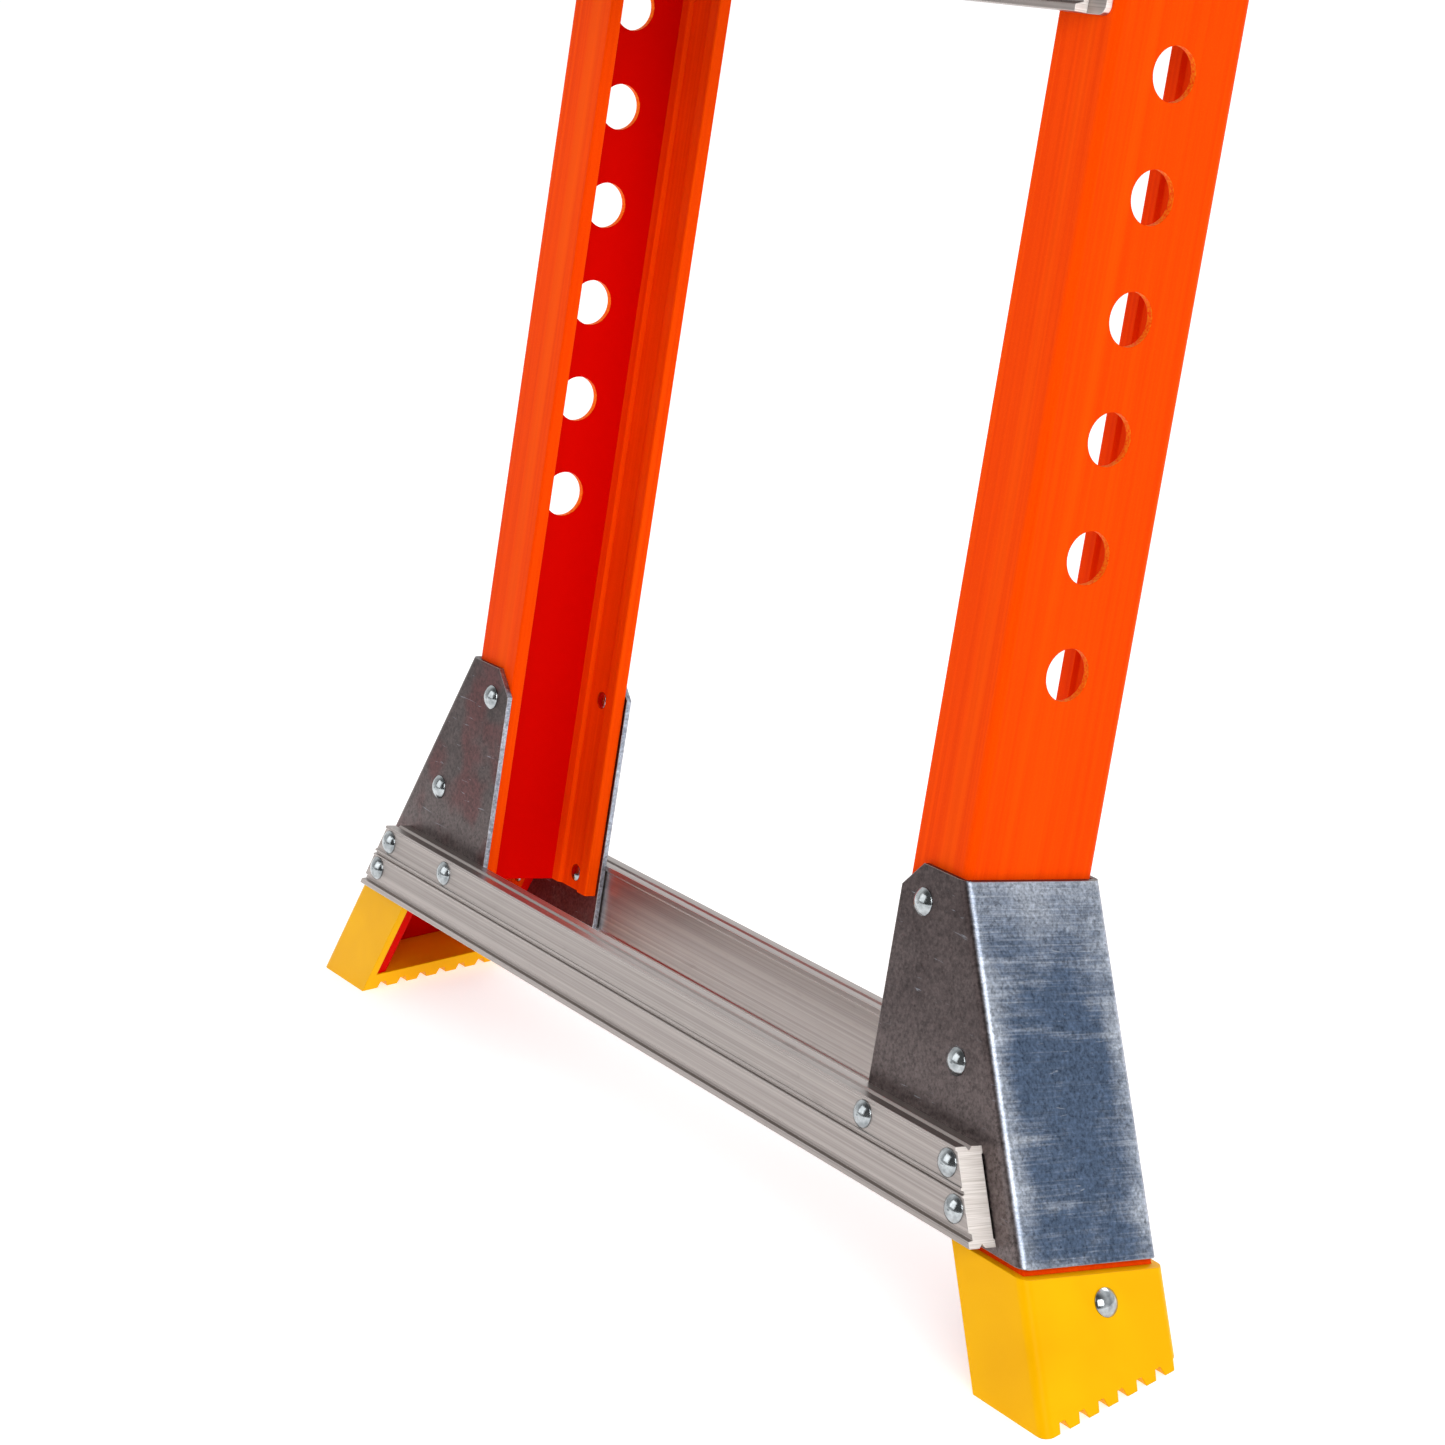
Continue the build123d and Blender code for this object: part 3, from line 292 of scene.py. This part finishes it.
# ---- Finishes ----
def fibreglass(name, rail):
    """Pultruded orange laminate: long streaks, a fine veil, paler sawn edges and hole rims."""
    material, tree = new_material(name)
    place, facing = rail_coordinates(tree), rail_normal(tree)
    low, high = rail_box(rail)
    streaks = noise(tree, stretched(tree, place, 420, 420, 5), detail=4)
    bands = noise(tree, stretched(tree, place, 60, 60, 0.8), detail=2)
    veil = noise(tree, place, 1500, detail=2, roughness=0.7)
    cloud = noise(tree, stretched(tree, place, 30, 30, 9), detail=3)
    tone = blend(tree, spread(tree, streaks, 0.35, 0.65), ORANGE_DEEP, ORANGE)
    tone = blend(tree, share(tree, smooth(tree, bands, 0.5, 0.75), 0.55), tone, ORANGE_PALE)
    tone = blend(tree, share(tree, smooth(tree, cloud, 0.5, 0.8), 0.35), tone, ORANGE_DEEP)
    tone = blend(tree, share(tree, smooth(tree, veil, 0.5, 0.7), 0.22), tone, ORANGE_PALE)
    x, y, _ = split(tree, place)
    across, _, along = split(tree, facing)
    in_web = math_node(tree, "GREATER_THAN", math_node(tree, "ABSOLUTE", x), high.x - RAIL_WALL)
    middle = math_node(tree, "ABSOLUTE", math_node(tree, "SUBTRACT", y, (low.y + high.y) / 2))
    off_flanges = math_node(tree, "LESS_THAN", middle, (high.y - low.y) / 2 - FLANGE_ZONE)
    sideways = math_node(tree, "LESS_THAN", math_node(tree, "ABSOLUTE", across), MOSTLY)
    rim = math_node(tree, "MULTIPLY", math_node(tree, "MULTIPLY", in_web, off_flanges), sideways)
    end = math_node(tree, "GREATER_THAN", math_node(tree, "ABSOLUTE", along), SQUARELY)
    cut = math_node(tree, "MAXIMUM", rim, end)
    # Painted shade: the web's faces that look inward into the channel are coloured a darker red.
    inward = math_node(tree, "LESS_THAN", math_node(tree, "MULTIPLY", x, across), -0.1)
    shaded_inside = math_node(tree, "MULTIPLY", in_web, inward)
    tone = blend(tree, shaded_inside, tone, CHANNEL_SHADE_RED)
    fibres = noise(tree, stretched(tree, place, 900, 900, 900), detail=1)
    sawn = blend(tree, spread(tree, fibres, 0.3, 0.7), CUT_LAMINATE, ORANGE)
    tone = blend(tree, cut, tone, sawn)
    normal = rounded(tree)
    normal = bumped(tree, streaks, 0.00006, normal, 0.6)
    normal = bumped(tree, veil, 0.00004, normal, 0.7)
    rough = ranged(tree, streaks, *LAMINATE_ROUGH)
    links = {
        "Base Color": tone,
        "Roughness": rough,
        "Normal": normal,
        "Specular IOR Level": LAMINATE_SHINE,
        "Specular Tint": ORANGE_SHEEN,
    }
    return finish_with(material, links)


def galvanised():
    """Zinc-coated sheet: fine spangle, brushed bands, a painted dark brown reflection on the faces
    front and back, a painted dark blue reflection on the sides, painted highlights on the sharp edges.
    """
    material, tree = new_material("galvanised_sheet")
    place, facing = rail_coordinates(tree), rail_normal(tree)
    low, high = rail_box("flare_bracket_right")
    fine = grains(tree, place, 900)
    coarse = grains(tree, place, 330)
    flecks = spread(tree, noise(tree, place, 640, detail=3, roughness=0.65), 0.36, 0.64)
    spangle = math_node(tree, "ADD", share(tree, fine, 0.3), share(tree, coarse, 0.2))
    spangle = math_node(tree, "ADD", spangle, share(tree, flecks, 0.5))
    brushing = noise(tree, stretched(tree, place, 22, 22, 1400), detail=3, roughness=0.6)
    swipes = noise(tree, stretched(tree, place, 14, 14, 95), detail=4, roughness=0.6, distortion=0.3)
    patches = noise(tree, stretched(tree, place, 26, 26, 20), detail=5, roughness=0.6, distortion=0.4)
    x, y, z = split(tree, place)
    across = split(tree, facing)[0]
    outward = smooth(tree, math_node(tree, "ABSOLUTE", across), 0.5, 0.8)
    off_middle = math_node(tree, "ABSOLUTE", math_node(tree, "SUBTRACT", y, (low.y + high.y) / 2))
    near_bend = spread(tree, off_middle, (high.y - low.y) * 0.30, (high.y - low.y) * 0.56)
    near_top = spread(tree, z, high.z - TOP_BAND, high.z)
    side_paleness = math_node(tree, "MAXIMUM", near_bend, share(tree, near_top, 0.7))
    side_paleness = math_node(tree, "ADD", side_paleness, share(tree, spread(tree, patches, 0.45, 0.75), 0.7))
    side_paleness = math_node(tree, "ADD", side_paleness, share(tree, spread(tree, brushing, 0.45, 0.8), 0.45))
    side_paleness = math_node(tree, "ADD", side_paleness, share(tree, spread(tree, swipes, 0.50, 0.68), 0.45))
    # Sideways faces: a painted dark blue reflection, lighter towards the bends and the top, and in
    # random patches and brush bands.
    side_tone = blend(tree, smooth(tree, side_paleness, 0.1, 1.25), ZINC_REFLECTED_BLUE, ZINC_LIGHT)
    # The faces front and back turn lighter towards the bottom and in random patches.
    stain = share(tree, spread(tree, patches, 0.3, 0.7), 0.45)
    near_foot = spread(tree, z, low.z + PALER_HIGH, low.z + PALER_LOW)
    # Painted dark brown reflection on the faces front and back.
    face_tone = blend(tree, math_node(tree, "MAXIMUM", stain, near_foot), ZINC_REFLECTED_BROWN, ZINC_FACE_PALE)
    tint = share(tree, smooth(tree, noise(tree, place, 34, detail=2), 0.42, 0.62), 0.55)
    left_side = math_node(tree, "LESS_THAN", x, 0.0)
    face_tone = blend(tree, math_node(tree, "MULTIPLY", tint, left_side), face_tone, ZINC_RUDDY)
    # Sideways faces take the painted blue reflection, and the faces front and back take the painted
    # brown one.
    tone = blend(tree, outward, face_tone, side_tone)
    mottled = ranged(tree, spangle, 0.42, 1.62)
    mottle = add(tree, "CombineColor", {0: mottled, 1: mottled, 2: mottled}).outputs[0]
    tone = blend(tree, 1.0, tone, mottle, "MULTIPLY")
    rubs = noise(tree, stretched(tree, place, 35, 60, 420), detail=4, distortion=1.2)
    rubs = share(tree, smooth(tree, rubs, 0.66, 0.74), 0.55)
    tone = blend(tree, rubs, tone, ZINC_LIGHT)
    normal = rounded(tree)
    sharp_edges = edge_mask(tree, normal)
    # Painted highlight along the sheet's sharp edges.
    tone = blend(tree, share(tree, sharp_edges, 0.6), tone, ZINC_EDGE_HIGHLIGHT)
    normal = bumped(tree, brushing, 0.00003, normal, 0.5)
    normal = bumped(tree, spangle, 0.00002, normal, 0.5)
    rough = ranged(tree, spangle, *ZINC_ROUGH)
    return finish_metal(material, tone, ZINC_METAL, rough, normal)


def drawn_aluminium():
    """Extruded bar and tread stock: long die lines, faint handling marks, bright sawn ends."""
    material, tree = new_material("aluminium")
    place, facing = rail_coordinates(tree), rail_normal(tree)
    lines = noise(tree, stretched(tree, place, 2.2, 800, 800), detail=4, roughness=0.65)
    bands = noise(tree, stretched(tree, place, 1.2, 130, 130), detail=2)
    marks = noise(tree, stretched(tree, place, 60, 260, 260), detail=5, distortion=0.8)
    tone = blend(tree, spread(tree, lines, 0.3, 0.7), DRAWN_DARK, DRAWN_LIGHT)
    tone = blend(tree, share(tree, smooth(tree, bands, 0.45, 0.75), 0.5), tone, DRAWN_LIGHT)
    tone = blend(tree, share(tree, smooth(tree, marks, 0.62, 0.74), 0.35), tone, DRAWN_DARK)
    across = math_node(tree, "ABSOLUTE", split(tree, facing)[0])
    saw = noise(tree, stretched(tree, place, 300, 40, 2500), detail=2)
    sawn = blend(tree, spread(tree, saw, 0.3, 0.7), SAWN_DARK, SAWN_END)
    end = smooth(tree, across, 0.6, 0.8)
    tone = blend(tree, end, tone, sawn)
    metal = ranged(tree, end, DRAWN_METAL, 0.0)
    normal = rounded(tree)
    sharp_edges = edge_mask(tree, normal)
    tone = blend(tree, share(tree, sharp_edges, 0.5), tone, SAWN_END)
    normal = bumped(tree, lines, 0.00004, normal, 0.7)
    rough = ranged(tree, marks, *DRAWN_ROUGH)
    return finish_metal(material, tone, metal, rough, normal)


def cast_aluminium():
    """Die-cast skin: slightly pebbled, with darker flow marks."""
    material, tree = new_material("cast_aluminium")
    place = rail_coordinates(tree)
    skin = noise(tree, place, 1300, detail=3, roughness=0.6)
    flow = noise(tree, place, 70, detail=4, distortion=1.0)
    tone = blend(tree, spread(tree, flow, 0.3, 0.7), CAST_DARK, CAST_LIGHT)
    normal = rounded(tree)
    tone = blend(tree, share(tree, edge_mask(tree, normal), 0.6), tone, PLATED_LIGHT)
    normal = bumped(tree, skin, 0.00012, normal, 0.8)
    rough = ranged(tree, skin, *CAST_ROUGH)
    return finish_metal(material, tone, CAST_METAL, rough, normal)


def yellow_plastic():
    """Glossy moulded plastic with slight flow shading and a faint orange-peel skin."""
    material, tree = new_material("yellow_plastic")
    place = rail_coordinates(tree)
    flow = noise(tree, place, 22, detail=2, distortion=0.5)
    peel = noise(tree, place, 420, detail=2)
    dust = noise(tree, place, 900, detail=4, roughness=0.7)
    tone = blend(tree, spread(tree, flow, 0.3, 0.7), YELLOW_DEEP, YELLOW)
    tone = blend(tree, share(tree, smooth(tree, dust, 0.68, 0.8), 0.25), tone, YELLOW_DUSTY)
    normal = bumped(tree, peel, 0.00010, rounded(tree), 0.35)
    rough = ranged(tree, flow, *YELLOW_ROUGH)
    links = {
        "Base Color": tone,
        "Roughness": rough,
        "Normal": normal,
        "Specular IOR Level": YELLOW_SHINE,
        "Specular Tint": YELLOW_SHEEN,
    }
    return finish_with(material, links)


def black_plastic():
    """Spark-textured nylon, a little paler where it is rubbed."""
    material, tree = new_material("black_plastic")
    place = rail_coordinates(tree)
    spark = noise(tree, place, 1100, detail=3, roughness=0.65)
    rubbed = noise(tree, place, 60, detail=4)
    normal = rounded(tree)
    sharp_edges = share(tree, edge_mask(tree, normal), 0.6)
    pale = math_node(tree, "MAXIMUM", sharp_edges, share(tree, smooth(tree, rubbed, 0.5, 0.8), 0.5))
    tone = blend(tree, pale, BLACK, BLACK_WORN)
    normal = bumped(tree, spark, 0.00015, normal, 0.8)
    rough = ranged(tree, spark, *BLACK_ROUGH)
    return finish_with(material, {"Base Color": tone, "Roughness": rough, "Normal": normal})


def plated(name, rough_range):
    """Bright zinc plate with faint clouding and small dents."""
    material, tree = new_material(name)
    place = rail_coordinates(tree)
    cloud = noise(tree, place, 260, detail=3)
    dents = noise(tree, place, 700, detail=2)
    tone = blend(tree, spread(tree, cloud, 0.3, 0.7), PLATED_DARK, PLATED_LIGHT)
    normal = bumped(tree, dents, 0.00006, rounded(tree), 0.35)
    rough = ranged(tree, cloud, *rough_range)
    return finish_metal(material, tone, 1.0, rough, normal)


# ---- Put each finish on the nodes that the record gives to its slot ----
finishes = {
    "galvanised_sheet": galvanised(),
    "aluminium": drawn_aluminium(),
    "cast_aluminium": cast_aluminium(),
    "yellow_plastic": yellow_plastic(),
    "black_plastic": black_plastic(),
    "plated_rivet": plated("plated_rivet", RIVET_ROUGH),
    "plated_steel": plated("plated_steel", STEEL_ROUGH),
}
laminates = {
    "base_section": fibreglass("fibreglass_base", "base_rail_right"),
    "fly_section": fibreglass("fibreglass_fly", "fly_rail_right"),
}


def dress(node, slot_name):
    part = frame["nodes"][node]
    if slot_name == "fibreglass":
        finish = laminates[part["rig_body"]]
    else:
        finish = finishes[slot_name]
    for place in part.material_slots:
        place.material = finish


for entry in frame["record"]["subparts"]:
    dress(entry["node"], entry["material_slot"])


# ---- Each lock spring gets a mesh of its own ----
# cover_end picks the corner of the spring's box that is at the cover: 0 is the lowest, 1 the highest.
for side, cover_end in (("left", 1), ("right", 0)):
    spring = f"lock_spring_{side}"
    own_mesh(frame["nodes"][spring])


# ---- Floor, lights and camera ----
def studio_floor():
    side = FLOOR_REACH
    mesh = bpy.data.meshes.new("floor")
    corners = [(-side, -side, 0), (side, -side, 0), (side, side, 0), (-side, side, 0)]
    mesh.from_pydata(corners, [], [(0, 1, 2, 3)])
    floor = bpy.data.objects.new("floor", mesh)
    bpy.context.scene.collection.objects.link(floor)
    material, tree = new_material("pale_floor")
    links = {
        "Base Color": FLOOR_WHITE,
        "Roughness": 0.9,
        "Emission Color": WHITE,
        "Emission Strength": FLOOR_GLOW,
    }
    mesh.materials.append(finish_with(material, links))


def studio_world():
    """White to the eye; to the object, bright round the horizon and dim high up on the near side."""
    world = bpy.data.worlds.new("studio")
    world.use_nodes = True
    tree = world.node_tree
    tree.nodes.clear()
    direction = add(tree, "TexCoord").outputs["Generated"]
    dim_side = Vector(DIM_SIDE).normalized()
    links = {0: direction, 1: tuple(dim_side)}
    facing = add(tree, "VectorMath", links, operation="DOT_PRODUCT").outputs["Value"]
    dim = smooth(tree, facing, 0.15, 0.85)
    strength = ranged(tree, dim, 0.85, 0.10)
    around = add(tree, "Background", {"Color": (*WHITE, 1.0), "Strength": strength})
    seen = add(tree, "Background", {"Color": (*WHITE, 1.0), "Strength": 1.0})
    eye = add(tree, "LightPath").outputs["Is Camera Ray"]
    links = {0: eye, 1: around.outputs[0], 2: seen.outputs[0]}
    both = add(tree, "MixShader", links)
    output = add(tree, "OutputWorld")
    tree.links.new(both.outputs[0], output.inputs["Surface"])
    bpy.context.scene.world = world


def softbox(name, place, size, watts):
    """A square light aimed at the lower part of the ladder."""
    lamp = bpy.data.lights.new(name, "AREA")
    lamp.shape = "SQUARE"
    lamp.size = size
    lamp.energy = watts
    light = bpy.data.objects.new(name, lamp)
    light.location = Vector(place)
    aim = Vector(LIGHT_AIM) - light.location
    light.rotation_mode = "QUATERNION"
    light.rotation_quaternion = aim.to_track_quat("-Z", "Y")
    bpy.context.scene.collection.objects.link(light)


def photographer():
    """The camera, placed from the floor under the shoes."""
    left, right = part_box("shoe_left"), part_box("shoe_right")
    foot = (left[0] + right[1]) / 2
    foot.z = 0.0
    data = bpy.data.cameras.new("camera")
    data.sensor_width = SENSOR
    data.lens = CAMERA_LENS
    camera = bpy.data.objects.new("camera", data)
    camera.location = foot + Vector(CAMERA_OFFSET)
    turn, down = math.radians(CAMERA_AZIMUTH), math.radians(CAMERA_DOWN)
    back = Vector((
        math.sin(turn) * math.cos(down),
        -math.cos(turn) * math.cos(down),
        math.sin(down),
    ))
    level = (-back).to_track_quat("-Z", "Y")
    roll = Quaternion((0, 0, 1), math.radians(-CAMERA_ROLL))
    camera.rotation_mode = "QUATERNION"
    camera.rotation_quaternion = level @ roll
    bpy.context.scene.collection.objects.link(camera)
    bpy.context.scene.camera = camera


studio_floor()
studio_world()
for name, place, size, watts in SOFTBOXES:
    softbox(name, place, size, watts)
photographer()
bpy.context.scene.view_settings.view_transform = "Standard"
